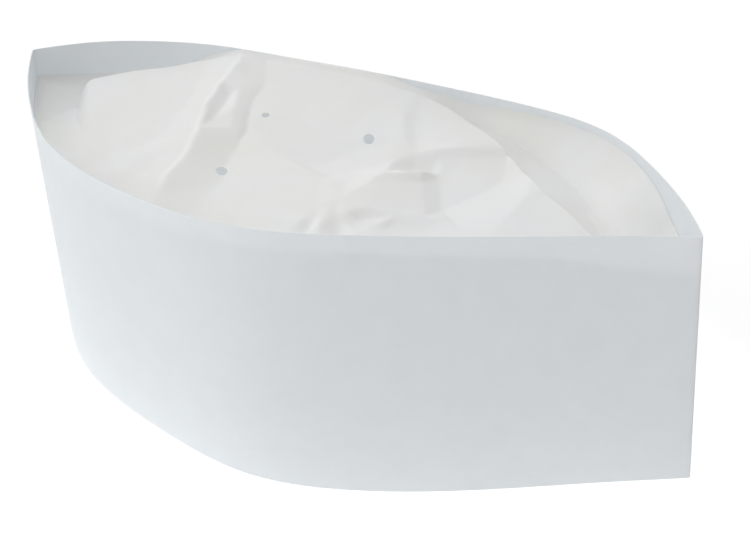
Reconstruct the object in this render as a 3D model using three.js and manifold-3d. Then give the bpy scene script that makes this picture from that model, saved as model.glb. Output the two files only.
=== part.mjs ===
// Paper soda jerk hat: two stiff paper side panels that meet at a creased tip in front and
// behind, and a thin tissue crown that spans the opening a little below their upper edge.
// Millimetres, +Z up, +X towards the front tip, +Y towards the wearer's left.
// The origin is at the bottom centre of the whole hat.

import * as THREE from 'three';
import { mergeVertices } from 'three/addons/utils/BufferGeometryUtils.js';
import Module from 'manifold-3d';

// Sizes of the paper band
const rimLength = 251; // straight from the back tip to the front tip, along the rim
const bandHeight = 82; // hem to rim
const hemWidth = 127.5; // greatest width of the two panels together, at the hem
const frontHemLead = 3.8; // at the front crease the hem lies this far ahead of the rim
const backHemInset = 5.8; // at the back crease the hem lies this far inside the rim
const panelWall = 1;

// How far each panel stands out from the line between the tips, as a share of hemWidth
const bulgeShares = { rightRim: 0.533, leftRim: 0.404, rightHem: 0.553, leftHem: 0.447 };

// Sizes of the tissue crown
const crownWall = 1;
const crownDrop = 12; // depth of the crown's glued edge below the rim, at the back of the hat
const pleatStep = 3; // width, seen from above, of the steep face under the pleat's crest
const lapStep = 5; // the same for the lap near the back
const crownBackInset = 7; // from the back tip to the back end of the crown, along the rim
const crownFrontInset = 8; // the same for the front
const ventDiameter = 3.6;

// Clear gap between pieces that touch on the real hat
const clearance = 0.3;

// How finely the surfaces are divided
const panelStations = 44;
const panelLevels = 3;
const crownStations = 76;
const crownSpans = [3, 1, 6, 8, 1, 3, 3]; // between one bend of a section and the next
const ventSides = 16;

// A table's rows, each value under the name of its column
function named(columns, rows) {
  return rows.map((row) => Object.fromEntries(columns.map((column, i) => [column, row[i]])));
}

// Plan outline of the band. along: share of half the length, 1 at the front tip and -1 at the
// back tip. The other columns are shares of how far that panel's rim or hem bulges.
const outline = named(['along', 'rightRim', 'leftRim', 'rightHem', 'leftHem'], [
  [ -1.0,     0,     0,     0,    0],
  [-0.92,  0.19,  0.25,  0.16,  0.2],
  [ -0.8, 0.435,  0.49,  0.38, 0.43],
  [-0.62, 0.725, 0.705, 0.665, 0.69],
  [ -0.4, 0.917, 0.815, 0.858, 0.86],
  [-0.15, 0.994, 0.905, 0.968, 0.97],
  [  0.1,  0.96, 0.965, 0.998,  1.0],
  [ 0.35, 0.748,   1.0, 0.843, 0.94],
  [  0.6, 0.464,  0.89, 0.557, 0.72],
  [  0.8,  0.22,  0.53, 0.278,  0.4],
  [ 0.92, 0.082,  0.24,  0.11, 0.17],
  [  1.0,     0,     0,     0,    0],
]);

// Sections of the crown, back to front. Each one runs from the right panel to the left panel
// through the lap near the back, the lengthwise middle crease, the crest of the slanting pleat,
// the floor of the pleat and the foot where the tissue climbs to the left panel. The At columns
// are shares of the way across, and the drops below the rim are shares of crownDrop.
const sections = named([
  'along', 'right', 'lapAt', 'lapFoot', 'lapTop', 'middle',
  'crestAt', 'crest', 'floor', 'footAt', 'foot', 'left',
], [
  [ -1.0,  1.0,  0.5, 1.05, 1.05, 1.05,   0.6, 1.05, 1.05,  0.82, 1.05,  1.0],
  [-0.86, 1.05,  0.5, 1.12, 1.12, 1.12,   0.6, 1.12, 1.15,  0.85, 1.15, 1.05],
  [-0.81,  1.0,  0.5, 1.05, 0.62, 0.58,  0.62, 0.58, 1.15,  0.87, 1.15, 1.05],
  [-0.75, 0.98,  0.4, 0.95, 0.62, 0.52,  0.78,  0.5,  1.1,   0.9,  1.1,  1.0],
  [-0.67,  0.9, 0.33,  0.8, 0.62,  0.5, 0.864, 0.42,  0.9,  0.93, 0.95,  0.8],
  [-0.61,  0.8,  0.3,  0.7, 0.64,  0.5, 0.925,  0.3,  0.5, 0.955,  0.6, 0.45],
  [ -0.5,  0.7,  0.3,  0.6,  0.6, 0.48,  0.94, 0.14, 0.16, 0.975, 0.15,  0.1],
  [ -0.3, 0.65,  0.3, 0.55, 0.55, 0.45, 0.945, 0.08, 0.08,  0.98, 0.08, 0.08],
  [ -0.1,  0.6,  0.3, 0.55, 0.55,  0.5, 0.945,  0.1, 0.12,  0.98, 0.12,  0.1],
  [  0.0,  0.6, 0.28, 0.56, 0.56, 0.52, 0.945,  0.2, 0.28,  0.98,  0.3,  0.3],
  [  0.1,  0.6, 0.26, 0.56, 0.56, 0.54,  0.93,  0.3,  0.6,  0.97, 0.55,  0.4],
  [ 0.18,  0.6, 0.25, 0.56, 0.56, 0.55, 0.905, 0.36,  0.9,  0.96, 0.75, 0.45],
  [ 0.31,  0.6, 0.24, 0.58, 0.58, 0.56,  0.82,  0.4,  1.2,  0.93, 0.85, 0.48],
  [  0.4, 0.62, 0.22, 0.58, 0.58, 0.55, 0.735,  0.4, 1.35,  0.89, 0.87,  0.5],
  [ 0.54, 0.65, 0.18,  0.6,  0.6, 0.55,  0.56, 0.42,  1.4,  0.78,  0.9, 0.58],
  [ 0.66,  0.7, 0.14, 0.65, 0.65, 0.58,  0.43, 0.46,  1.4,  0.65, 0.96,  0.7],
  [ 0.74, 0.78,  0.1,  0.7,  0.7, 0.65, 0.304, 0.55,  1.3,  0.52, 1.02, 0.82],
  [ 0.86,  1.0, 0.06, 0.95, 0.95,  0.9,  0.14, 0.88,  1.1,   0.4,  1.1, 1.05],
  [  1.0, 1.25, 0.05,  1.2,  1.2, 1.15,   0.1, 1.15,  1.2,  0.35,  1.2, 1.25],
]);
const lapShare = 0.6; // the middle crease lies this near the lap, on the way to the crest

// Folds crumpled into the crown, each straight and fading out at both ends. The along columns
// are shares of half the rim length; the aside ones, and how far the fold spreads to the left
// and right of its line, are shares of hemWidth. rise is a share of crownDrop, down where negative.
const folds = named(['along', 'aside', 'toAlong', 'toAside', 'rise', 'left', 'right'], [
  [-0.51,  0.37, -0.42,  0.06,  0.18,  0.13, 0.035],
  [-0.42,  0.06, -0.24, -0.38,   0.2,  0.13, 0.035],
  [  0.2, -0.24,  0.42, -0.14,  0.24,  0.12,  0.05],
  [ 0.17, -0.07,  0.27, 0.015,  0.17, 0.035,  0.05],
  [ 0.38, -0.02,  0.41,  0.15, -0.15,  0.11,  0.05],
  [ 0.12,  0.13,  0.04,  0.34,  0.06,  0.05,  0.06],
  [ 0.12, -0.27,  0.21, -0.37,  0.12,  0.04,  0.04],
  [ 0.58,  0.18,  0.73,  0.05, -0.12,  0.05,  0.04],
]);
const foldFade = 0.3; // share of a fold's length over which it fades, inside and outside each end

// Vent holes through the crown, placed as the sections are
const vents = [
  { along: -0.18, across: 0.34 },
  { along: -0.25, across: 0.66 },
  { along: 0.05, across: 0.67 },
];

const bondPaper = { color: 0xdfe3e6, roughness: 0.85, metalness: 0 };
const tissuePaper = { color: 0xecebe6, roughness: 0.95, metalness: 0 };

// A smooth curve through one column of a table: the natural cubic spline of its points
function smoothColumn(rows, column) {
  const x = rows.map((row) => row.along);
  const y = rows.map((row) => row[column]);
  const last = x.length - 1;
  const bend = new Array(x.length).fill(0);
  const carry = new Array(x.length).fill(0);
  for (let i = 1; i < last; i += 1) {
    const share = (x[i] - x[i - 1]) / (x[i + 1] - x[i - 1]);
    const pivot = share * bend[i - 1] + 2;
    bend[i] = (share - 1) / pivot;
    const turn = (y[i + 1] - y[i]) / (x[i + 1] - x[i]) - (y[i] - y[i - 1]) / (x[i] - x[i - 1]);
    carry[i] = ((6 * turn) / (x[i + 1] - x[i - 1]) - share * carry[i - 1]) / pivot;
  }
  bend[last] = 0;
  for (let i = last - 1; i >= 0; i -= 1) {
    bend[i] = bend[i] * bend[i + 1] + carry[i];
  }
  return (at) => {
    let i = 1;
    while (i < last && x[i] < at) {
      i += 1;
    }
    const gap = x[i] - x[i - 1];
    const low = (x[i] - at) / gap;
    const high = (at - x[i - 1]) / gap;
    const cubic = ((low ** 3 - low) * bend[i - 1] + (high ** 3 - high) * bend[i]) * gap * gap / 6;
    return low * y[i - 1] + high * y[i] + cubic;
  };
}

// The same through a column that must never swing past its points
function steadyColumn(rows, column) {
  const x = rows.map((row) => row.along);
  const y = rows.map((row) => row[column]);
  const slopes = x.slice(1).map((value, i) => (y[i + 1] - y[i]) / (value - x[i]));
  const tangents = x.map((value, i) => {
    const before = slopes[Math.max(i - 1, 0)];
    const after = slopes[Math.min(i, slopes.length - 1)];
    return before * after > 0 ? (2 * before * after) / (before + after) : 0;
  });
  return (at) => {
    let i = 1;
    while (i < x.length - 1 && x[i] < at) {
      i += 1;
    }
    const gap = x[i] - x[i - 1];
    const share = (at - x[i - 1]) / gap;
    const rest = 1 - share;
    const low = (1 + 2 * share) * y[i - 1] + share * gap * tangents[i - 1];
    const high = (1 + 2 * rest) * y[i] - rest * gap * tangents[i];
    return rest * rest * low + share * share * high;
  };
}

const halfRim = rimLength / 2;
const rightRimCurve = smoothColumn(outline, 'rightRim');
const leftRimCurve = smoothColumn(outline, 'leftRim');
const rightHemCurve = smoothColumn(outline, 'rightHem');
const leftHemCurve = smoothColumn(outline, 'leftHem');

// Where a panel stands in plan, at a share along the hat and a height. The paper is straight
// from hem to rim, so both coordinates are blended between the two edges.
function stationX(along, height) {
  const hemShare = 1 - height / bandHeight;
  const front = halfRim + frontHemLead * hemShare;
  const back = -halfRim + backHemInset * hemShare;
  return back + ((front - back) * (along + 1)) / 2;
}

function rightOuterY(along, height) {
  const rimShare = height / bandHeight;
  const rim = bulgeShares.rightRim * rightRimCurve(along) * rimShare;
  return -hemWidth * (rim + bulgeShares.rightHem * rightHemCurve(along) * (1 - rimShare));
}

function leftOuterY(along, height) {
  const rimShare = height / bandHeight;
  const rim = bulgeShares.leftRim * leftRimCurve(along) * rimShare;
  return hemWidth * (rim + bulgeShares.leftHem * leftHemCurve(along) * (1 - rimShare));
}

// The same panel moved inward, square to the paper, by a distance
const slopeShare = 0.005;
function insetY(outerY, along, height, distance) {
  const before = Math.max(along - slopeShare, -1);
  const after = Math.min(along + slopeShare, 1);
  const rise = outerY(after, height) - outerY(before, height);
  const run = stationX(after, height) - stationX(before, height);
  const stretch = Math.hypot(1, rise / run);
  const outer = outerY(along, height);
  return outer - Math.sign(outer) * distance * stretch;
}

// A closed shell between two grids of points of the same size, rows by columns. Where the two
// grids share a point the shell ends in an edge there.
function shellBetween(front, back) {
  const rows = front.length;
  const columns = front[0].length;
  const positions = [];
  for (const grid of [front, back]) {
    for (const row of grid) {
      for (const point of row) {
        positions.push(point.x, point.y, point.z);
      }
    }
  }
  const faces = [];
  const frontAt = (r, c) => r * columns + c;
  const backAt = (r, c) => rows * columns + r * columns + c;
  const quad = (a, b, c, d) => faces.push([a, b, c], [a, c, d]);
  for (let r = 0; r < rows - 1; r += 1) {
    for (let c = 0; c < columns - 1; c += 1) {
      quad(frontAt(r, c), frontAt(r, c + 1), frontAt(r + 1, c + 1), frontAt(r + 1, c));
      quad(backAt(r, c), backAt(r + 1, c), backAt(r + 1, c + 1), backAt(r, c + 1));
    }
    quad(frontAt(r, 0), frontAt(r + 1, 0), backAt(r + 1, 0), backAt(r, 0));
    const end = columns - 1;
    quad(frontAt(r + 1, end), frontAt(r, end), backAt(r, end), backAt(r + 1, end));
  }
  for (let c = 0; c < columns - 1; c += 1) {
    quad(frontAt(0, c + 1), frontAt(0, c), backAt(0, c), backAt(0, c + 1));
    const top = rows - 1;
    quad(frontAt(top, c), frontAt(top, c + 1), backAt(top, c + 1), backAt(top, c));
  }
  const loose = new THREE.BufferGeometry();
  loose.setAttribute('position', new THREE.Float32BufferAttribute(positions, 3));
  loose.setIndex(faces.flat());
  const joined = mergeVertices(loose, 1e-4);
  const index = joined.getIndex().array;
  const kept = [];
  for (let i = 0; i < index.length; i += 3) {
    const [a, b, c] = [index[i], index[i + 1], index[i + 2]];
    if (a !== b && b !== c && c !== a) {
      kept.push(a, b, c);
    }
  }
  joined.setIndex(kept);
  return joined;
}

// Stations from tip to tip, a little closer together near the tips
function panelStation(i) {
  return -Math.cos((Math.PI * i) / panelStations);
}

function sidePanel(outerY, side) {
  const outside = [];
  const inside = [];
  for (let level = 0; level <= panelLevels; level += 1) {
    const height = (bandHeight * level) / panelLevels;
    const outer = [];
    const inner = [];
    for (let i = 0; i <= panelStations; i += 1) {
      const along = panelStation(i);
      const x = stationX(along, height);
      const seam = (side * clearance) / 2;
      const outerAt = side * Math.max(side * outerY(along, height), side * seam);
      const innerAt = side * Math.max(side * insetY(outerY, along, height, panelWall), side * seam);
      const atTip = i === 0 || i === panelStations;
      outer.push(new THREE.Vector3(x, outerAt, height));
      inner.push(new THREE.Vector3(x, atTip ? outerAt : innerAt, height));
    }
    outside.push(outer);
    inside.push(inner);
  }
  return side < 0 ? shellBetween(outside, inside) : shellBetween(inside, outside);
}

const sectionColumns = Object.keys(sections[0]).slice(1);
const sectionCurves = Object.fromEntries(sectionColumns.map((name) => [name, steadyColumn(sections, name)]));
const crownBack = -1 + crownBackInset / halfRim;
const crownFront = 1 - crownFrontInset / halfRim;

// 0 up to low, 1 from high on, and smooth between
function easeBetween(low, high, value) {
  const share = Math.min(Math.max((value - low) / (high - low), 0), 1);
  return share * share * (3 - 2 * share);
}

// How far the folds lift the tissue at a place in plan
function foldLift(x, y) {
  let lift = 0;
  for (const fold of folds) {
    const run = {
      x: (fold.toAlong - fold.along) * halfRim,
      y: (fold.toAside - fold.aside) * hemWidth,
    };
    const length = Math.hypot(run.x, run.y);
    const from = { x: x - fold.along * halfRim, y: y - fold.aside * hemWidth };
    const share = (from.x * run.x + from.y * run.y) / length ** 2;
    const side = (from.y * run.x - from.x * run.y) / length;
    const fade = easeBetween(-foldFade, foldFade, share) * easeBetween(-foldFade, foldFade, 1 - share);
    const spread = hemWidth * (side > 0 ? fold.left : fold.right);
    lift += crownDrop * fold.rise * fade * Math.max(1 - Math.abs(side) / spread, 0);
  }
  return lift;
}

// A point of the crown's upper face, at a share along the hat, a share across and a drop. The
// folds die out towards the panels, where the tissue is glued.
function crownPoint(along, across, drop) {
  const height = bandHeight - crownDrop * drop;
  const inset = panelWall + clearance;
  const right = insetY(rightOuterY, along, height, inset);
  const left = insetY(leftOuterY, along, height, inset);
  const x = stationX(along, height);
  const y = right + (left - right) * across;
  const free = easeBetween(0, crownDrop, Math.min(y - right, left - y));
  return new THREE.Vector3(x, y, height + free * foldLift(x, y));
}

// The bends of one section of the crown, from the right panel to the left one
function crownBends(along) {
  const at = Object.fromEntries(sectionColumns.map((name) => [name, sectionCurves[name](along)]));
  const width = leftOuterY(along, bandHeight) - rightOuterY(along, bandHeight);
  return [
    { across: 0, drop: at.right },
    { across: Math.max(at.lapAt - lapStep / width, at.lapAt / 2), drop: at.lapFoot },
    { across: at.lapAt, drop: at.lapTop },
    { across: at.lapAt * lapShare + at.crestAt * (1 - lapShare), drop: at.middle },
    { across: at.crestAt, drop: at.crest },
    { across: Math.min(at.crestAt + pleatStep / width, (at.crestAt + at.footAt) / 2), drop: at.floor },
    { across: at.footAt, drop: at.foot },
    { across: 1, drop: at.left },
  ];
}

function crownSection(along) {
  const bends = crownBends(along);
  const points = [];
  crownSpans.forEach((spans, b) => {
    for (let k = 0; k < spans; k += 1) {
      const share = k / spans;
      const across = bends[b].across + (bends[b + 1].across - bends[b].across) * share;
      const drop = bends[b].drop + (bends[b + 1].drop - bends[b].drop) * share;
      points.push(crownPoint(along, across, drop));
    }
  });
  points.push(crownPoint(along, 1, bends[bends.length - 1].drop));
  return points;
}

// The lower face keeps the wall square to the sheet: it drops further where the sheet is steep
const steepestRatio = 2;
function underside(upper) {
  return upper.map((row, r) => row.map((point, c) => {
    const across = row[Math.min(c + 1, row.length - 1)].clone().sub(row[Math.max(c - 1, 0)]);
    const ahead = upper[Math.min(r + 1, upper.length - 1)][c].clone().sub(upper[Math.max(r - 1, 0)][c]);
    const square = ahead.cross(across).normalize();
    const drop = crownWall * Math.min(1 / Math.abs(square.z), steepestRatio);
    return new THREE.Vector3(point.x, point.y, point.z - drop);
  }));
}

const wasm = await Module();
wasm.setup();

function toSolid(geometry) {
  const bare = geometry.clone();
  bare.deleteAttribute('normal');
  bare.deleteAttribute('uv');
  const joined = mergeVertices(bare, 1e-4);
  return new wasm.Manifold(new wasm.Mesh({
    numProp: 3,
    vertProperties: new Float32Array(joined.getAttribute('position').array),
    triVerts: new Uint32Array(joined.getIndex().array),
  }));
}

function toGeometry(solid) {
  const mesh = solid.getMesh();
  const geometry = new THREE.BufferGeometry();
  geometry.setAttribute('position', new THREE.Float32BufferAttribute(mesh.vertProperties, 3));
  geometry.setIndex(Array.from(mesh.triVerts));
  geometry.computeVertexNormals();
  return geometry;
}

// The tissue crown: a shell lofted through the sections, with the vents cut through it
function crownGeometry() {
  const upper = [];
  for (let i = 0; i <= crownStations; i += 1) {
    upper.push(crownSection(crownBack + ((crownFront - crownBack) * i) / crownStations));
  }
  const lower = underside(upper);
  let crown = toSolid(shellBetween(lower, upper));
  for (const vent of vents) {
    const place = crownPoint(vent.along, vent.across, 0);
    const punch = new THREE.CylinderGeometry(ventDiameter / 2, ventDiameter / 2, 3 * crownDrop, ventSides);
    punch.rotateX(Math.PI / 2);
    punch.translate(place.x, place.y, bandHeight - crownDrop);
    crown = crown.subtract(toSolid(punch));
  }
  return toGeometry(crown);
}

function piece(name, geometry, finish) {
  const mesh = new THREE.Mesh(geometry, new THREE.MeshStandardMaterial(finish));
  mesh.name = name;
  geometry.computeVertexNormals();
  return mesh;
}

const hat = new THREE.Group();
hat.add(piece('right_side_panel', sidePanel(rightOuterY, -1), bondPaper));
hat.add(piece('left_side_panel', sidePanel(leftOuterY, 1), bondPaper));
hat.add(piece('crown', crownGeometry(), tissuePaper));

// The group is set so that the middle of its outer box stands over the origin
const box = new THREE.Box3().setFromObject(hat);
hat.position.set(-(box.min.x + box.max.x) / 2, -(box.min.y + box.max.y) / 2, 0);

export default hat;
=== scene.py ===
import math

import bpy
import numpy as np
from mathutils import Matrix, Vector
from mathutils.geometry import delaunay_2d_cdt


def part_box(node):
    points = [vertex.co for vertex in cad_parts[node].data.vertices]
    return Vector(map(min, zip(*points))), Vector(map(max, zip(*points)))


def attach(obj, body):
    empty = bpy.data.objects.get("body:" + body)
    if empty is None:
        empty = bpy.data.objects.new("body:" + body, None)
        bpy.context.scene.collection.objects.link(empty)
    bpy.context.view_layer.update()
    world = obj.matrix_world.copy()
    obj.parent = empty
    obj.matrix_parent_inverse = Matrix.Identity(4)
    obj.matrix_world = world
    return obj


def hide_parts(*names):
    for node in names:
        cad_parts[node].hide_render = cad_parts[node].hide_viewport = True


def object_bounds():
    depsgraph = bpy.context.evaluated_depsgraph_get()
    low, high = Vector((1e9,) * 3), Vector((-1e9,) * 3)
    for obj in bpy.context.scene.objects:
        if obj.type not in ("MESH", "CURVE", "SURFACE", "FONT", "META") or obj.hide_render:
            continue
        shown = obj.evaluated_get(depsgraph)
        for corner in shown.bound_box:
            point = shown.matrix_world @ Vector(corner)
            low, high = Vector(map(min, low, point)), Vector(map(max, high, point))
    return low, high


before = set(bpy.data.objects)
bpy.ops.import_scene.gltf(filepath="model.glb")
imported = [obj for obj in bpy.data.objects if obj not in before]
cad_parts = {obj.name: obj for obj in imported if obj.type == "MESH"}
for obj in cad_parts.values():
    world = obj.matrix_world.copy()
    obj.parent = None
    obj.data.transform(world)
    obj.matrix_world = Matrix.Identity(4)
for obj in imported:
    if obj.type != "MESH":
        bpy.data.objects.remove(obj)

bl_info = {
    "name": "Paper soda jerk hat",
    "version": (1, 0, 0),
    "blender": (4, 5, 0),
    "location": "View3D > Sidebar > Paper hat",
    "description": "Builds a boat-shaped paper hat with a crumpled tissue crown",
    "category": "Object",
}

MM = 0.001
# Two corners nearer than this are one, and faces that meet at more than this angle form an edge
MERGE_DISTANCE = 1e-6
CREASE_ANGLE = math.radians(50)

# The solids of the hat, in metres, and the line between its two tips
CAD_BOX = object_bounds()
RIGHT_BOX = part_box("right_side_panel")
LEFT_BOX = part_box("left_side_panel")
SEAM_Y = (RIGHT_BOX[1][1] + LEFT_BOX[0][1]) / 2
BAND_HEIGHT = CAD_BOX[1][2] - CAD_BOX[0][2]

# Plan outline of the band. along is a share of half the length, 1 at the front tip. The other
# columns are shares of how far that panel's rim or hem stands out from the line of the tips.
OUTLINE_COLUMNS = ("along", "right_rim", "left_rim", "right_hem", "left_hem")
OUTLINE = (
    (-1.00, 0.000, 0.000, 0.000, 0.00),
    (-0.92, 0.190, 0.250, 0.160, 0.20),
    (-0.80, 0.435, 0.490, 0.380, 0.43),
    (-0.62, 0.725, 0.705, 0.665, 0.69),
    (-0.40, 0.917, 0.815, 0.858, 0.86),
    (-0.15, 0.994, 0.905, 0.968, 0.97),
    (0.10, 0.960, 0.965, 0.998, 1.00),
    (0.35, 0.748, 1.000, 0.843, 0.94),
    (0.60, 0.464, 0.890, 0.557, 0.72),
    (0.80, 0.220, 0.530, 0.278, 0.40),
    (0.92, 0.082, 0.240, 0.110, 0.17),
    (1.00, 0.000, 0.000, 0.000, 0.00),
)

# Sections of the tissue crown from the back tip to the front. Each runs from the right panel to
# the left one through the lap near the back, the middle crease, the crest, floor and foot of the
# slanting pleat. The _at columns are shares of the way across; the others are drops below the
# rim, as shares of the crown's drop.
CROWN_COLUMNS = (
    "along", "right", "lap_at", "lap_foot", "lap_top", "middle",
    "crest_at", "crest", "floor", "foot_at", "foot", "left",
)
CROWN = (
    (-0.995, 0.92, 0.50, 0.92, 0.92, 0.92, 0.600, 0.92, 0.92, 0.820, 0.92, 0.92),
    (-0.95, 1.00, 0.50, 1.05, 1.05, 1.05, 0.600, 1.05, 1.08, 0.820, 1.05, 1.00),
    (-0.86, 1.12, 0.50, 1.25, 1.25, 1.25, 0.600, 1.25, 1.28, 0.850, 1.25, 1.10),
    (-0.83, 1.10, 0.52, 1.22, 1.20, 1.20, 0.590, 1.20, 1.28, 0.860, 1.25, 1.10),
    (-0.82, 1.05, 0.53, 1.15, 0.62, 0.58, 0.600, 0.58, 1.25, 0.870, 1.20, 1.10),
    (-0.75, 1.00, 0.40, 0.98, 0.62, 0.52, 0.780, 0.50, 1.20, 0.900, 1.15, 1.00),
    (-0.67, 0.90, 0.33, 0.82, 0.62, 0.50, 0.864, 0.42, 0.95, 0.930, 1.00, 0.80),
    (-0.61, 0.80, 0.30, 0.70, 0.64, 0.50, 0.925, 0.30, 0.50, 0.955, 0.60, 0.45),
    (-0.50, 0.70, 0.30, 0.60, 0.60, 0.48, 0.955, 0.14, 0.16, 0.975, 0.15, 0.10),
    (-0.30, 0.65, 0.30, 0.55, 0.55, 0.45, 0.960, 0.07, 0.08, 0.980, 0.07, 0.05),
    (-0.10, 0.60, 0.30, 0.55, 0.55, 0.50, 0.965, 0.10, 0.12, 0.980, 0.12, 0.10),
    (0.00, 0.60, 0.28, 0.56, 0.56, 0.52, 0.965, 0.20, 0.28, 0.982, 0.30, 0.30),
    (0.10, 0.60, 0.26, 0.56, 0.56, 0.54, 0.950, 0.30, 0.60, 0.978, 0.55, 0.40),
    (0.18, 0.60, 0.25, 0.56, 0.56, 0.55, 0.915, 0.36, 0.55, 0.965, 0.70, 0.45),
    (0.31, 0.60, 0.24, 0.58, 0.58, 0.56, 0.820, 0.40, 0.60, 0.930, 0.82, 0.36),
    (0.40, 0.62, 0.22, 0.58, 0.58, 0.55, 0.735, 0.40, 0.62, 0.890, 0.92, 0.34),
    (0.54, 0.65, 0.18, 0.60, 0.60, 0.55, 0.560, 0.42, 0.63, 0.780, 0.95, 0.34),
    (0.66, 0.70, 0.14, 0.65, 0.65, 0.58, 0.430, 0.46, 0.66, 0.650, 0.96, 0.36),
    (0.74, 0.78, 0.10, 0.70, 0.70, 0.65, 0.304, 0.55, 0.72, 0.520, 0.98, 0.44),
    (0.80, 0.88, 0.07, 0.82, 0.82, 0.78, 0.210, 0.70, 0.82, 0.460, 1.04, 0.62),
    (0.86, 1.02, 0.04, 0.98, 0.98, 0.95, 0.120, 0.92, 1.00, 0.400, 1.12, 0.98),
    (0.92, 1.15, 0.03, 1.10, 1.10, 1.05, 0.100, 1.05, 1.10, 0.350, 1.15, 1.15),
    (0.99, 1.25, 0.03, 1.20, 1.20, 1.15, 0.100, 1.15, 1.20, 0.350, 1.20, 1.25),
)

# Folds crumpled into the tissue, in millimetres from the middle of the line between the tips. The
# points of one fold are joined in order, and the tissue lies in flat facets between the folds.
# Columns: fold, x, y, rise.
FOLDS = (
    ("long ridge", -64, 48, 0.4), ("long ridge", -64, 39, 0.9), ("long ridge", -55, 16, 1.6),
    ("long ridge", -51, 0, 1.8), ("long ridge", -42, -14, 1.8), ("long ridge", -38, -23, 1.8),
    ("long ridge", -35, -33, 1.8), ("long ridge", -33, -42, 1.6), ("long ridge", -28, -53, 1.0),
    ("ridge foot", -66.5, 38, 0.5), ("ridge foot", -57.5, 16, 0.9), ("ridge foot", -53, -1, 1.0),
    ("ridge foot", -44.5, -14.5, 1.0), ("ridge foot", -40, -24.5, 1.0), ("ridge foot", -37, -34.5, 0.9),
    ("ridge foot", -35.5, -44, 0.6),
    ("ridge far foot", -74, 33, 0.0), ("ridge far foot", -64, 14, 0.1), ("ridge far foot", -58, -6, 0.2),
    ("ridge far foot", -51, -20, 0.2), ("ridge far foot", -46, -32, 0.1),
    ("ridge back", -57, 45, -0.3), ("ridge back", -46, 27, -0.4), ("ridge back", -40, 12, -0.3),
    ("ridge back", -27, -16, -0.5), ("ridge back", -18, -37, -0.5), ("ridge back", -13, -53, -0.2),
    ("back dent", -50, 13, 0.2), ("back dent", -47, 3, 0.3), ("back dent", -45, -5, 0.7),
    ("dent rim", -47, 15, 0.9), ("dent rim", -42, 4, 1.1), ("dent rim", -36, -6, 0.6),
    ("second dent", -42, 15, 0.0), ("second dent", -37, 4, 0.1), ("second dent", -33, -5, 0.1),
    ("centre crease", -22, -7, 0.0), ("centre crease", -2, -10.5, -0.7),
    ("centre crease", 7, -13, -0.5), ("centre crease", 14, -13, 0.2),
    ("crease near", -14, -12.5, 0.1), ("crease near", -2, -14, 0.3), ("crease near", 8, -17, 0.4),
    ("left crest", 20, -27, 1.1), ("left crest", 22.2, -12.2, 1.3), ("left crest", 24.1, -7.8, 1.2),
    ("upper edge", 24.1, -7.8, 1.2), ("upper edge", 29, -6.5, 0.6), ("upper edge", 34.5, -2, 0.0),
    ("sharp crest", 23.5, -5.5, 1.3), ("sharp crest", 27.5, -3, 1.6), ("sharp crest", 32.5, 1.5, 1.1),
    ("notch", 24, 0, 0.1), ("notch", 27, 4.5, -1.0), ("notch", 31, 7, -1.1), ("notch", 35.5, 5.5, -0.8),
    ("strip top", 34.5, -2, 0.0), ("strip top", 42.4, -14, -0.4),
    ("strip foot", 40.1, -1.5, -1.2), ("strip foot", 46.8, -11.3, -1.9), ("strip foot", 54, -17, -1.2),
    ("front crest", 25, -31, 1.0), ("front crest", 29.3, -28.2, 0.9), ("front crest", 37.4, -24.2, 0.4),
    ("front crest", 45, -20.5, -0.2), ("front crest", 51.6, -18, -0.6),
    ("crest foot", 41, -30, -0.5), ("crest foot", 49, -26, -1.0), ("crest foot", 58, -21, -0.8),
    ("far valley", 25, 8, -0.2), ("far valley", 30.5, 13.5, -0.1), ("far valley", 38, 18, -0.4),
    ("far valley", 48.5, 26, -0.9),
    ("step top", 23.5, 11, 0.4), ("step top", 31, 17.5, 0.7), ("step top", 38, 22.5, 0.4),
    ("step top", 47.5, 30, -0.1),
    ("right valley", 52.5, 6, -1.3), ("right valley", 53.5, 16, -1.4),
    ("light field", 67, -9, 0.0), ("light field", 66, 5, 0.0), ("light field", 62, 20, 0.0),
    ("cross crease", -3, 50, 0.1), ("cross crease", 7, 32, 0.5), ("cross crease", 15, 17, 0.7),
    ("cross crease", 21, 3, 0.5),
    ("crease right", 10, 35, 0.0), ("crease right", 18, 20, 0.0),
    ("rim pucker", 18, -51, 0.3), ("rim pucker", 18, -45, 0.8), ("rim pucker", 16, -38, 0.2),
    ("pucker foot", 22, -48, -0.1), ("pucker foot", 19, -40, -0.1),
    ("rim fold", 17, -34, 0.3), ("rim fold", 25, -46, 1.0),
    ("fold foot", 22, -32, 0.5), ("fold foot", 30, -43, -0.3),
    ("last fold", 27, -34, 0.7), ("last fold", 34.5, -41, 0.6),
    ("rim hollow", 31, -32.5, -0.4), ("rim hollow", 35, -28, -0.1),
    ("hollow front", 37.5, -36, 0.5), ("hollow front", 39, -30, 0.3),
    ("tip valley", 74, 22, 0.0), ("tip valley", 84, 14, -1.0), ("tip valley", 91, 7, -1.0),
    ("tip rise", 79, 27, 0.3), ("tip rise", 90, 18, 0.7), ("tip rise", 98, 9, 0.4),
    ("edge crease", -74, -30, 0.1), ("edge crease", -62, -37, -0.5), ("edge crease", -54, -41, -0.6),
    ("edge crease", -43, -42, -0.3),
    ("edge fold", -66, -43, 0.4), ("edge fold", -52, -49, 0.6), ("edge fold", -42, -51, 0.4),
)

# Vent holes through the crown, each torn a little longer than it is wide. Columns: shares along
# the hat, across it and of the full diameter, and the length over the width.
VENTS = ((-0.18, 0.34, 1.0, 1.5), (-0.25, 0.66, 0.7, 1.2), (0.05, 0.67, 1.0, 1.6))


def linear(hex_code):
    """An sRGB hex colour as the linear colour that a shader takes."""
    parts = [int(hex_code[i:i + 2], 16) / 255 for i in (1, 3, 5)]
    return [c / 12.92 if c <= 0.04045 else ((c + 0.055) / 1.055) ** 2.4 for c in parts] + [1.0]


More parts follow.
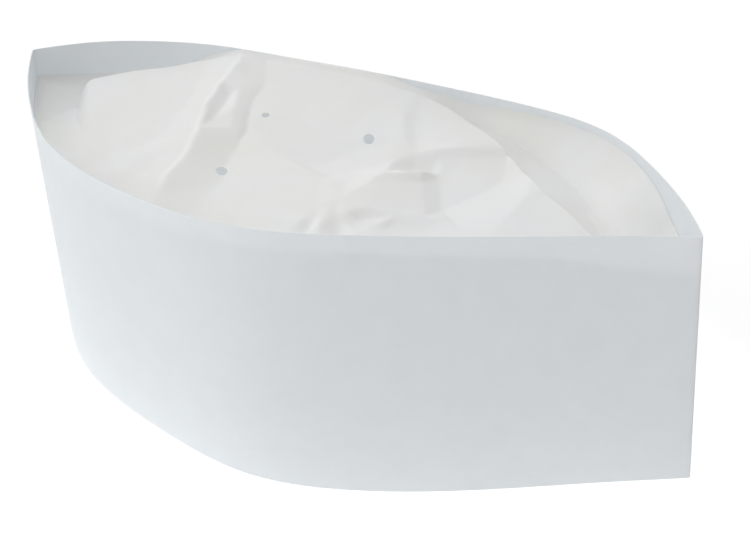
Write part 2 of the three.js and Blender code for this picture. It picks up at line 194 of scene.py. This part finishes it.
class BandSettings(bpy.types.PropertyGroup):
    rim_length: bpy.props.FloatProperty(
        name="Rim length", description="Straight from tip to tip along the rim",
        default=251 * MM, unit="LENGTH")
    right_rim_bulge: bpy.props.FloatProperty(
        name="Right rim bulge", description="How far the right panel's rim stands out",
        default=68 * MM, unit="LENGTH")
    left_rim_bulge: bpy.props.FloatProperty(
        name="Left rim bulge", description="How far the left panel's rim stands out",
        default=51.5 * MM, unit="LENGTH")
    right_hem_bulge: bpy.props.FloatProperty(
        name="Right hem bulge", description="How far the right panel's hem stands out",
        default=70.5 * MM, unit="LENGTH")
    left_hem_bulge: bpy.props.FloatProperty(
        name="Left hem bulge", description="How far the left panel's hem stands out",
        default=57 * MM, unit="LENGTH")
    front_hem_lead: bpy.props.FloatProperty(
        name="Front hem lead", description="How far the hem lies ahead of the rim at the front",
        default=3.8 * MM, unit="LENGTH")
    back_hem_inset: bpy.props.FloatProperty(
        name="Back hem inset", description="How far the hem lies inside the rim at the back",
        default=5.8 * MM, unit="LENGTH")
    paper: bpy.props.FloatProperty(
        name="Paper", description="Thickness of the folded bond paper",
        default=0.35 * MM, unit="LENGTH")
    fold_radius: bpy.props.FloatProperty(
        name="Fold radius", description="How round the creased tips are",
        default=0.5 * MM, unit="LENGTH")
    wave: bpy.props.FloatProperty(
        name="Wave", description="How far the paper waves in and out of its true curve",
        default=0.35 * MM, unit="LENGTH")
    colour: bpy.props.FloatVectorProperty(
        name="Paper colour", description="Colour of the bond paper",
        default=linear("#F5F8FA"), size=4, min=0, max=1, subtype="COLOR")
    cloud_colour: bpy.props.FloatVectorProperty(
        name="Cloud colour", description="Colour of the paper where its fibres lie denser",
        default=linear("#F0F3F5"), size=4, min=0, max=1, subtype="COLOR")
    light_through: bpy.props.FloatProperty(
        name="Light through", description="Share of the light that passes through the bond paper",
        default=0.3, min=0, max=1, subtype="FACTOR")


class CrownSettings(bpy.types.PropertyGroup):
    drop: bpy.props.FloatProperty(
        name="Drop", description="Depth of the crown's glued edge below the rim, at the back",
        default=12 * MM, unit="LENGTH")
    tissue: bpy.props.FloatProperty(
        name="Tissue", description="Thickness of the tissue",
        default=0.25 * MM, unit="LENGTH")
    pleat_step: bpy.props.FloatProperty(
        name="Pleat step", description="Width from above of the face under the pleat's crest",
        default=2 * MM, unit="LENGTH")
    vent_diameter: bpy.props.FloatProperty(
        name="Vent diameter", description="Diameter of a vent hole",
        default=3.6 * MM, unit="LENGTH")
    turn_up: bpy.props.FloatProperty(
        name="Turn-up", description="Height of the tissue that is glued up along the wall",
        default=1.6 * MM, unit="LENGTH")
    fold_depth: bpy.props.FloatProperty(
        name="Fold depth", description="How strongly the tissue is crumpled, as a factor",
        default=1.5)
    crumple: bpy.props.FloatProperty(
        name="Crumple", description="Height of the small creases that crumpling leaves",
        default=0.5 * MM, unit="LENGTH")
    seed: bpy.props.IntProperty(
        name="Seed", description="Which random crumpling is used", default=7)
    colour: bpy.props.FloatVectorProperty(
        name="Tissue colour", description="Colour of the tissue",
        default=linear("#FAFAFF"), size=4, min=0, max=1, subtype="COLOR")
    warm_colour: bpy.props.FloatVectorProperty(
        name="Warm colour", description="Colour of the tissue's warmer patches",
        default=linear("#F8F8F0"), size=4, min=0, max=1, subtype="COLOR")
    light_through: bpy.props.FloatProperty(
        name="Light through", description="Share of the light that passes through the tissue",
        default=0.4, min=0, max=1, subtype="FACTOR")


class StageSettings(bpy.types.PropertyGroup):
    azimuth: bpy.props.FloatProperty(
        name="Azimuth", description="Direction that the camera looks in, from +Y towards -X",
        default=math.radians(32.64), subtype="ANGLE")
    elevation: bpy.props.FloatProperty(
        name="Elevation", description="How steeply the camera looks down",
        default=math.radians(30), subtype="ANGLE")
    lens: bpy.props.FloatProperty(
        name="Lens", description="Focal length on a sensor 36 mm wide", default=86.4)
    floor_size: bpy.props.FloatProperty(
        name="Floor size", description="Side of the square floor", default=6.0, unit="LENGTH")
    # The floor's painted glow is added on top of this colour
    floor_colour: bpy.props.FloatVectorProperty(
        name="Floor colour", description="Colour of the floor where nothing glows through it",
        default=linear("#C8C8C8"), size=4, min=0, max=1, subtype="COLOR")


def columns(names, rows):
    """The columns of a table by name."""
    return dict(zip(names, np.array(rows, float).T))


def smooth_curve(x, y):
    """The natural cubic spline through points, as a function of an array."""
    n = len(x)
    gaps = np.diff(x)
    matrix = np.eye(n)
    turns = np.zeros(n)
    for i in range(1, n - 1):
        matrix[i, i - 1:i + 2] = gaps[i - 1], 2 * (gaps[i - 1] + gaps[i]), gaps[i]
        turns[i] = 6 * ((y[i + 1] - y[i]) / gaps[i] - (y[i] - y[i - 1]) / gaps[i - 1])
    bend = np.linalg.solve(matrix, turns)

    def curve(at):
        at = np.asarray(at, float)
        i = np.clip(np.searchsorted(x, at), 1, n - 1)
        gap = gaps[i - 1]
        low, high = (x[i] - at) / gap, (at - x[i - 1]) / gap
        cubic = ((low ** 3 - low) * bend[i - 1] + (high ** 3 - high) * bend[i]) * gap ** 2 / 6
        return low * y[i - 1] + high * y[i] + cubic
    return curve


def steady_curve(x, y):
    """A smooth curve through points that never swings past them."""
    gaps = np.diff(x)
    slopes = np.diff(y) / gaps
    tangents = np.zeros(len(x))
    tangents[0], tangents[-1] = slopes[0], slopes[-1]
    for i in range(1, len(x) - 1):
        if slopes[i - 1] * slopes[i] > 0:
            w1, w2 = 2 * gaps[i] + gaps[i - 1], gaps[i] + 2 * gaps[i - 1]
            tangents[i] = (w1 + w2) / (w1 / slopes[i - 1] + w2 / slopes[i])

    def curve(at):
        at = np.asarray(at, float)
        i = np.clip(np.searchsorted(x, at), 1, len(x) - 1)
        gap = gaps[i - 1]
        s = (at - x[i - 1]) / gap
        start = (1 + 2 * s) * (1 - s) ** 2 * y[i - 1] + s * (1 - s) ** 2 * gap * tangents[i - 1]
        end = s ** 2 * (3 - 2 * s) * y[i] + s ** 2 * (s - 1) * gap * tangents[i]
        return start + end
    return curve


def step_up(low, high, value):
    """0 below low, 1 above high and smooth between."""
    share = np.clip((value - low) / (high - low), 0, 1)
    return share * share * (3 - 2 * share)


class BandShape:
    """Where the paper of the two side panels stands, before it is given its thickness."""

    def __init__(self, band):
        table = columns(OUTLINE_COLUMNS, OUTLINE)
        self.band = band
        self.curves = {name: smooth_curve(table["along"], table[name]) for name in OUTLINE_COLUMNS[1:]}
        # The hem stands ahead of the rim at the front, and the box's middle is at the origin
        self.shift_x = -band.front_hem_lead / 2

    def x(self, along, height):
        hem = 1 - height / BAND_HEIGHT
        front = self.band.rim_length / 2 + self.band.front_hem_lead * hem
        back = -self.band.rim_length / 2 + self.band.back_hem_inset * hem
        return self.shift_x + back + (front - back) * (along + 1) / 2

    def y(self, side, along, height):
        name = "right" if side < 0 else "left"
        rim = height / BAND_HEIGHT
        rim_bulge = getattr(self.band, name + "_rim_bulge") * self.curves[name + "_rim"](along)
        hem_bulge = getattr(self.band, name + "_hem_bulge") * self.curves[name + "_hem"](along)
        return SEAM_Y + side * (rim_bulge * rim + hem_bulge * (1 - rim))

    def inner_y(self, side, along, height, inset):
        reach = 0.004  # the slope is taken over this share of half the length, to either side
        before, after = np.maximum(along - reach, -1), np.minimum(along + reach, 1)
        rise = self.y(side, after, height) - self.y(side, before, height)
        run = self.x(after, height) - self.x(before, height)
        return self.y(side, along, height) - side * inset * np.hypot(1, rise / run)


def select_only(obj):
    bpy.ops.object.select_all(action="DESELECT")
    obj.select_set(True)
    bpy.context.view_layer.objects.active = obj


def grid_piece(name, across, up):
    """A flat grid with its corners at 0 and 1, to be bent to shape; its vertices as an array."""
    bpy.ops.object.select_all(action="DESELECT")
    bpy.ops.mesh.primitive_grid_add(x_subdivisions=across, y_subdivisions=up, size=1)
    obj = bpy.context.object
    obj.name = obj.data.name = name
    flat = np.empty(len(obj.data.vertices) * 3)
    obj.data.vertices.foreach_get("co", flat)
    return obj, flat.reshape(-1, 3)[:, :2] + 0.5


def bend_to(obj, points):
    obj.data.vertices.foreach_set("co", np.ascontiguousarray(points, float).ravel())
    obj.data.update()


def finish_sheet(obj, thickness, offset):
    """Gives a bent sheet its thickness and smooth shading, with faces pointing out."""
    select_only(obj)
    solid = obj.modifiers.new("paper thickness", "SOLIDIFY")
    solid.thickness = thickness
    solid.offset = offset
    solid.use_even_offset = False
    bpy.ops.object.modifier_apply(modifier=solid.name)
    bpy.ops.object.mode_set(mode="EDIT")
    bpy.ops.mesh.select_all(action="SELECT")
    bpy.ops.mesh.remove_doubles(threshold=MERGE_DISTANCE)
    bpy.ops.mesh.normals_make_consistent(inside=False)
    bpy.ops.object.mode_set(mode="OBJECT")
    bpy.ops.object.shade_smooth_by_angle(angle=CREASE_ANGLE)


def add_node(tree, kind, links=None, **settings):
    """One shader node with its settings; links gives each input a value or another output."""
    node = tree.nodes.new(kind)
    for key, value in settings.items():
        setattr(node, key, value)
    for key, value in (links or {}).items():
        if isinstance(value, bpy.types.NodeSocket):
            tree.links.new(value, node.inputs[key])
        else:
            node.inputs[key].default_value = value
    return node


def new_material(name):
    material = bpy.data.materials.new(name)
    material.use_nodes = True
    tree = material.node_tree
    tree.nodes.clear()
    return material, tree


def thin_sheet(tree, surface, colour, share):
    """The surface of a sheet so thin that a share of the light passes through it."""
    through = add_node(tree, "ShaderNodeBsdfTranslucent", {"Color": colour})
    both = add_node(tree, "ShaderNodeMixShader", {
        0: share, 1: surface.outputs["BSDF"], 2: through.outputs["BSDF"]})
    add_node(tree, "ShaderNodeOutputMaterial", {"Surface": both.outputs["Shader"]})


def bond_paper():
    """Uncoated bond paper, calendered smooth: matt, bluish white, with the faint cloudy
    formation of its fibres and a grain too fine to feel. Light glows through it a little."""
    band = bpy.context.scene.hat_band
    material, tree = new_material("calendered bond paper")
    place = add_node(tree, "ShaderNodeTexCoord").outputs["Object"]
    clouds = add_node(tree, "ShaderNodeTexNoise", {
        "Vector": place, "Scale": 1 / (9 * MM), "Detail": 3.0, "Roughness": 0.6})
    colour = add_node(tree, "ShaderNodeMix", {
        "Factor": clouds.outputs["Fac"], "A": band.colour, "B": band.cloud_colour}, data_type="RGBA")
    grain = add_node(tree, "ShaderNodeTexNoise", {
        "Vector": place, "Scale": 1 / (0.5 * MM), "Detail": 4.0, "Roughness": 0.7})
    bump = add_node(tree, "ShaderNodeBump", {
        "Height": grain.outputs["Fac"], "Distance": 0.02 * MM, "Strength": 0.35})
    shader = add_node(tree, "ShaderNodeBsdfPrincipled", {
        "Base Color": colour.outputs["Result"], "Roughness": 0.72, "IOR": 1.5,
        "Specular IOR Level": 0.25, "Normal": bump.outputs["Normal"]})
    thin_sheet(tree, shader, colour.outputs["Result"], band.light_through)
    return material


def tissue_paper():
    """Light dry-creped tissue: thin, soft and warm white, with fine wrinkles over its folds.
    Much of the light that falls on it passes through."""
    crown = bpy.context.scene.hat_crown
    material, tree = new_material("dry-creped tissue paper")
    place = add_node(tree, "ShaderNodeTexCoord").outputs["Object"]
    clouds = add_node(tree, "ShaderNodeTexNoise", {
        "Vector": place, "Scale": 1 / (45 * MM), "Detail": 4.0, "Roughness": 0.65})
    colour = add_node(tree, "ShaderNodeMix", {
        "Factor": clouds.outputs["Fac"], "A": crown.colour, "B": crown.warm_colour}, data_type="RGBA")
    creping = add_node(tree, "ShaderNodeTexNoise", {
        "Vector": place, "Scale": 1 / (1.6 * MM), "Detail": 5.0, "Roughness": 0.6,
        "Distortion": 0.6})
    bump = add_node(tree, "ShaderNodeBump", {
        "Height": creping.outputs["Fac"], "Distance": 0.12 * MM, "Strength": 0.4})
    shader = add_node(tree, "ShaderNodeBsdfPrincipled", {
        "Base Color": colour.outputs["Result"], "Roughness": 0.9, "IOR": 1.45,
        "Specular IOR Level": 0.15, "Normal": bump.outputs["Normal"]})
    thin_sheet(tree, shader, colour.outputs["Result"], crown.light_through)
    return material


def painted_glow_floor():
    """A pale floor with painted glow: it gives off light of its own, so that it stays near white around
    the hat. The glow is painted strongest in a pool of light round the hat, where it lights the foot of
    the paper, and is dimmer under the hat."""
    half_length, half_width = 300 * MM, 200 * MM
    material, tree = new_material("pale floor with painted glow")
    place = add_node(tree, "ShaderNodeTexCoord").outputs["Object"]
    reach = add_node(tree, "ShaderNodeVectorMath", {
        0: place, 1: (1 / half_length, 1 / half_width, 0)}, operation="MULTIPLY")
    # 0 at the edge of that oval and 1 in its middle
    inward = add_node(tree, "ShaderNodeTexGradient", {
        "Vector": reach.outputs["Vector"]}, gradient_type="SPHERICAL")
    # Painted glow: a pool of light that rises towards the hat's foot
    rise = add_node(tree, "ShaderNodeMapRange", {
        "Value": inward.outputs["Fac"], "From Min": 0.4, "From Max": 0.66, "To Min": 0.5,
        "To Max": 0.78}, interpolation_type="SMOOTHSTEP")
    # Painted glow: dimmer again under the hat
    under = add_node(tree, "ShaderNodeMapRange", {
        "Value": inward.outputs["Fac"], "From Min": 0.68, "From Max": 0.8, "To Min": 1.0,
        "To Max": 0.7}, interpolation_type="SMOOTHSTEP")
    # Painted glow: the floor's own light, strongest in a pool round the hat
    glow = add_node(tree, "ShaderNodeMath", {
        0: rise.outputs["Result"], 1: under.outputs["Result"]}, operation="MULTIPLY")
    shader = add_node(tree, "ShaderNodeBsdfPrincipled", {
        "Base Color": bpy.context.scene.hat_stage.floor_colour, "Roughness": 0.9,
        "Specular IOR Level": 0.1,
        "Emission Color": linear("#FFFFFF"), "Emission Strength": glow.outputs["Value"]})
    add_node(tree, "ShaderNodeOutputMaterial", {"Surface": shader.outputs["BSDF"]})
    return material


class HAT_OT_side_panels(bpy.types.Operator):
    """Fold the two side panels of the band from bond paper"""
    bl_idname = "hat.side_panels"
    bl_label = "Side panels"

    stations = 260
    levels = 48
    # The paper waves by these angles along the panel and up it, from these starts, but not where
    # it is nearer to a tip than this share of half the length
    wave_along, wave_up = (5.1, 0.8), (2.2, 0.4)
    still_tip = 0.2

    def panel(self, name, side, material):
        band = bpy.context.scene.hat_band
        shape = BandShape(band)
        obj, share = grid_piece(name, self.stations, self.levels)
        height = share[:, 1] * BAND_HEIGHT
        # Stations crowd towards the tips, where the folds are tight
        along = -np.cos(math.pi * share[:, 0])
        x = shape.x(along, height)
        y = shape.y(side, along, height)
        # The creases are folds with a small radius, not knife edges
        for tip in (-1, 1):
            tip_x = shape.x(np.full_like(along, tip), height)
            away = np.abs(x - tip_x)
            x = tip_x - tip * np.hypot(away, band.fold_radius)
        free = step_up(0, self.still_tip, 1 - np.abs(along))
        turn_along = self.wave_along[0] * along + self.wave_along[1]
        turn_up = self.wave_up[0] * share[:, 1] + self.wave_up[1] + along
        y = y + side * band.wave * np.sin(turn_along) * np.sin(turn_up) * free
        bend_to(obj, np.column_stack([x, y, CAD_BOX[0][2] + height]))
        finish_sheet(obj, band.paper, -side)
        obj.data.materials.append(material)
        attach(obj, "root")
        return obj

    def execute(self, context):
        material = bond_paper()
        for side, name in ((-1, "right_side_panel"), (1, "left_side_panel")):
            obj = self.panel(name + "_paper", side, material)
            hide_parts(name)
        return {"FINISHED"}


def crinkle(points, seed, count, box, height, reach):
    """Small random creases: each is a low straight ridge or groove that fades out at both ends."""
    shortest, longest, lowest, spread = 0.5, 1.5, 0.3, 0.5
    rng = np.random.default_rng(seed)
    total = np.zeros(len(points))
    for _ in range(count):
        centre = rng.uniform(*box)
        turn = rng.uniform(0, math.pi)
        length = rng.uniform(shortest, longest) * reach
        rise = rng.choice([-1, 1]) * rng.uniform(lowest, 1) * height
        run = (points - centre) @ (math.cos(turn), math.sin(turn))
        side = (points - centre) @ (-math.sin(turn), math.cos(turn))
        fade = np.clip(1 - np.abs(run) / length, 0, 1)
        total += rise * fade * np.clip(1 - np.abs(side) / (spread * length), 0, 1)
    return total


class HAT_OT_crown(bpy.types.Operator):
    """Lay the tissue crown between the panels, with its pleat, creases and vents"""
    bl_idname = "hat.crown"
    bl_label = "Tissue crown"

    stations = 300
    # Quads between one bend of a section and the next
    spans = (16, 2, 32, 40, 3, 16, 14)
    # The lap's face is this many times as wide as the pleat's, and stays this share of the width
    # off the right panel. The middle crease lies this near the lap, on the way to the crest.
    lap_steps, lap_edge, lap_share = 3, 0.01, 0.6
    # The glued edge is buried in this share of the wall's paper, and beside it the tissue rises to
    # its full folds over this share of the width
    buried, edge_share = 0.7, 0.06
    # Points along each rim where the tissue is level again, set this far out
    rim_points, past_rim = 15, 1.04
    # No fold in tissue runs quite straight. Each row moves the folds along x or y by waves: size in
    # mm, turn per mm along x and y, start.
    wander_x = ((0.5, 0.05, 0.21, 1.0), (0.2, 0.0, 0.53, 0.3))
    wander_y = ((0.5, 0.19, 0.07, 2.0), (0.2, 0.47, 0.0, 1.9))
    # A fold is as round as the mean of points this far round it, in mm, at these turns
    fold_round, fold_turns = 0.3, (0, 1.26, 2.51, 3.77, 5.03)
    # Random creases: how many, their height as a share of the crumple, their reach in mm
    broad_creases, fine_creases = (60, 1, 26), (220, 0.25, 8)
    crumple_box = ((-110, -60), (110, 55))
    # Direction of the longer side of the vents, turned from +Y
    tear_turn = math.radians(33)
    vent_sides = 32

    def bends(self, along, width):
        """Shares across and drops at the bends of every section."""
        table = columns(CROWN_COLUMNS, CROWN)
        at = {name: steady_curve(table["along"], table[name])(along) for name in CROWN_COLUMNS[1:]}
        crown = bpy.context.scene.hat_crown
        step = crown.pleat_step / width
        lap_foot_at = np.maximum(at["lap_at"] - self.lap_steps * step, self.lap_edge)
        middle_at = self.lap_share * at["lap_at"] + (1 - self.lap_share) * at["crest_at"]
        floor_at = np.minimum(at["crest_at"] + step, (at["crest_at"] + at["foot_at"]) / 2)
        across = np.stack([
            0 * along, lap_foot_at, at["lap_at"], middle_at, at["crest_at"], floor_at, at["foot_at"],
            0 * along + 1])
        drops = np.stack([
            at["right"], at["lap_foot"], at["lap_top"], at["middle"], at["crest"], at["floor"],
            at["foot"], at["left"]])
        return across, drops

    def execute(self, context):
        crown = context.scene.hat_crown
        band = context.scene.hat_band
        shape = BandShape(band)
        total = sum(self.spans)
        obj, share = grid_piece("tissue_crown", self.stations, total)
        first, last = CROWN[0][0], CROWN[-1][0]
        along = first + (last - first) * share[:, 0]
        rim = np.full_like(along, BAND_HEIGHT)
        width = shape.y(1, along, rim) - shape.y(-1, along, rim)
        across_bends, drop_bends = self.bends(along, width)
        ends = np.cumsum((0,) + self.spans)
        step = np.clip(np.round(share[:, 1] * total), 0, total)
        span = np.clip(np.searchsorted(ends, step, side="right") - 1, 0, len(self.spans) - 1)
        part = (step - ends[span]) / np.array(self.spans)[span]
        pick = np.arange(len(along))
        across = across_bends[span, pick] * (1 - part) + across_bends[span + 1, pick] * part
        drop = drop_bends[span, pick] * (1 - part) + drop_bends[span + 1, pick] * part
        height = BAND_HEIGHT - crown.drop * drop
        # The glued edge is buried in the paper, so that no gap shows
        inset = self.buried * band.paper
        right = shape.inner_y(-1, along, height, inset)
        left = shape.inner_y(1, along, height, inset)
        x = shape.x(along, height)
        y = right + (left - right) * across
        plan = np.column_stack([x - shape.shift_x, y - SEAM_Y]) / MM
        free = step_up(0, self.edge_share, np.minimum(across, 1 - across))
        relief = crown.fold_depth * self.folds(plan, shape) + self.crumples(plan, crown)
        z = CAD_BOX[0][2] + height + free * relief * MM
        # The glued edge turns up along the wall, but not past the rim
        z += crown.turn_up * np.exp(-np.minimum(y - right, left - y) / crown.turn_up)
        z = np.minimum(z, CAD_BOX[1][2])
        bend_to(obj, np.column_stack([x, y, z]))
        finish_sheet(obj, crown.tissue, -1)
        self.cut_vents(obj, shape, crown)
        obj.data.materials.append(tissue_paper())
        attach(obj, "root")
        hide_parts("crown")
        return {"FINISHED"}

    def facets(self, shape):
        """The flat facets between the folds: plan corners and the rise at each corner."""
        points, rises, edges = [], [], []
        last = None
        for name, x, y, rise in FOLDS:
            if name == last:
                edges.append((len(points) - 1, len(points)))
            points.append(Vector((x, y)))
            rises.append(rise)
            last = name
        # The tissue is level again where it meets the panels
        for along in np.linspace(-1, 1, self.rim_points):
            for side in (-1, 1):
                y = (shape.y(side, along, BAND_HEIGHT) - SEAM_Y) / MM
                x = shape.band.rim_length / 2 / MM * along
                points.append(Vector((x, self.past_rim * float(y))))
                rises.append(0.0)
        corners, _, faces, sources, _, _ = delaunay_2d_cdt(points, edges, [], 0, 1e-4)
        rises = [rises[source[0]] for source in sources]
        corners = np.array(corners)
        return [(corners[list(face)], np.array([rises[i] for i in face])) for face in faces]

    def folds(self, plan, shape):
        """How far the folds lift the tissue at each point of the plan."""
        x, y = plan.T
        plan = plan + np.column_stack([
            sum(size * np.sin(per_x * x + per_y * y + start) for size, per_x, per_y, start in waves)
            for waves in (self.wander_x, self.wander_y)])
        facets = self.facets(shape)
        total = np.zeros(len(plan))
        for turn in self.fold_turns:
            px, py = (plan + self.fold_round * np.array([math.cos(turn), math.sin(turn)])).T
            lift = np.zeros(len(plan))
            for (a, b, c), rise in facets:
                area = (b[0] - a[0]) * (c[1] - a[1]) - (b[1] - a[1]) * (c[0] - a[0])
                u = ((b[0] - px) * (c[1] - py) - (b[1] - py) * (c[0] - px)) / area
                v = ((c[0] - px) * (a[1] - py) - (c[1] - py) * (a[0] - px)) / area
                inside = (u >= 0) & (v >= 0) & (u + v <= 1)
                lift[inside] = (u * rise[0] + v * rise[1] + (1 - u - v) * rise[2])[inside]
            total += lift / len(self.fold_turns)
        return total

    def crumples(self, plan, crown):
        total = np.zeros(len(plan))
        for i, (count, share, reach) in enumerate((self.broad_creases, self.fine_creases)):
            height = share * crown.crumple / MM
            total += crinkle(plan, crown.seed + i, count, self.crumple_box, height, reach)
        return total

    def cut_vents(self, obj, shape, crown):
        bpy.ops.object.select_all(action="DESELECT")
        punches = []
        for along, across, size, stretch in VENTS:
            right, left = (shape.y(side, along, BAND_HEIGHT) for side in (-1, 1))
            bpy.ops.mesh.primitive_cylinder_add(
                vertices=self.vent_sides, radius=size * crown.vent_diameter / 2,
                depth=3 * crown.drop, scale=(1, stretch, 1), rotation=(0, 0, self.tear_turn),
                location=(float(shape.x(along, BAND_HEIGHT)), float(right + (left - right) * across),
                          CAD_BOX[1][2] - crown.drop / 2))
            punches.append(bpy.context.object)
        for punch in punches:
            punch.select_set(True)
        bpy.context.view_layer.objects.active = punches[0]
        bpy.ops.object.join()
        punch = bpy.context.object
        select_only(obj)
        cut = obj.modifiers.new("vents", "BOOLEAN")
        cut.operation = "DIFFERENCE"
        cut.object = punch
        cut.solver = "EXACT"
        bpy.ops.object.modifier_apply(modifier=cut.name)
        bpy.data.objects.remove(punch)


class HAT_OT_stage(bpy.types.Operator):
    """Set the pale floor, the soft lights and the camera"""
    bl_idname = "hat.stage"
    bl_label = "Stage"

    # The camera's place, from the middle of the hem, and the width of its sensor in mm
    camera_place = (285.7 * MM, -417.9 * MM, 326.2 * MM)
    sensor_width = 36
    # Soft round lamps: name, place and width in metres, power in watts
    softboxes = (
        ("left softbox", (-1.0, -1.3, 0.95), 1.1, 5),
        ("overhead softbox", (-0.1, 0.0, 1.5), 1.4, 4.5),
        ("rear softbox", (-0.9, 1.3, 0.5), 1.0, 6.5),
    )
    lamp_target = (0, 0, 40 * MM)
    # How bright the tent is beside the hat, and what it gains from there to the front
    tent_level, tent_slope = 0.6, -0.31

    def lamp(self, name, place, size, power):
        bpy.ops.object.select_all(action="DESELECT")
        bpy.ops.object.light_add(type="AREA", location=place)
        lamp = bpy.context.object
        lamp.name = name
        lamp.data.shape = "DISK"
        lamp.data.size = size
        lamp.data.energy = power
        aim = Vector(self.lamp_target) - Vector(place)
        lamp.rotation_euler = aim.to_track_quat("-Z", "Y").to_euler()

    def light_tent(self, scene):
        """White cloth all round, a little brighter at the hat's back than at its front."""
        world = bpy.data.worlds.new("light tent")
        scene.world = world
        world.use_nodes = True
        tree = world.node_tree
        place = add_node(tree, "ShaderNodeTexCoord").outputs["Generated"]
        axes = add_node(tree, "ShaderNodeSeparateXYZ", {"Vector": place})
        level = add_node(tree, "ShaderNodeMath", {
            0: axes.outputs["X"], 1: self.tent_slope, 2: self.tent_level}, operation="MULTIPLY_ADD")
        background = tree.nodes["Background"]
        background.inputs["Color"].default_value = linear("#FFFFFF")
        tree.links.new(level.outputs["Value"], background.inputs["Strength"])

    def execute(self, context):
        scene = context.scene
        stage = scene.hat_stage
        bpy.ops.object.select_all(action="DESELECT")
        bpy.ops.mesh.primitive_plane_add(size=stage.floor_size, location=(0, 0, CAD_BOX[0][2]))
        floor = context.object
        floor.name = "floor"
        # The floor's material gives off painted glow
        floor.data.materials.append(painted_glow_floor())
        for softbox in self.softboxes:
            self.lamp(*softbox)
        self.light_tent(scene)
        bpy.ops.object.camera_add(
            location=self.camera_place,
            rotation=(math.pi / 2 - stage.elevation, 0, stage.azimuth))
        camera = context.object
        camera.name = "photo camera"
        camera.data.lens = stage.lens
        camera.data.sensor_width = self.sensor_width
        camera.data.sensor_fit = "HORIZONTAL"
        scene.camera = camera
        scene.view_settings.view_transform = "Standard"
        scene.view_settings.look = "None"
        return {"FINISHED"}


class HAT_PT_panel(bpy.types.Panel):
    """The hat's sizes and its steps"""
    bl_idname = "HAT_PT_panel"
    bl_label = "Paper hat"
    bl_space_type = "VIEW_3D"
    bl_region_type = "UI"
    bl_category = "Paper hat"

    def draw(self, context):
        for group in ("hat_band", "hat_crown", "hat_stage"):
            settings = getattr(context.scene, group)
            column = self.layout.column(align=True)
            for name in settings.__annotations__:
                column.prop(settings, name)
        for step in STEPS:
            self.layout.operator(step.bl_idname)


STEPS = (HAT_OT_side_panels, HAT_OT_crown, HAT_OT_stage)
GROUPS = {"hat_band": BandSettings, "hat_crown": CrownSettings, "hat_stage": StageSettings}


def register():
    for cls in (*GROUPS.values(), *STEPS, HAT_PT_panel):
        bpy.utils.register_class(cls)
    for name, cls in GROUPS.items():
        setattr(bpy.types.Scene, name, bpy.props.PointerProperty(type=cls))


def unregister():
    for name in GROUPS:
        delattr(bpy.types.Scene, name)
    for cls in reversed((*GROUPS.values(), *STEPS, HAT_PT_panel)):
        bpy.utils.unregister_class(cls)


def main():
    register()
    bpy.ops.hat.side_panels()
    bpy.ops.hat.crown()
    bpy.ops.hat.stage()


if __name__ == "__main__":
    main()
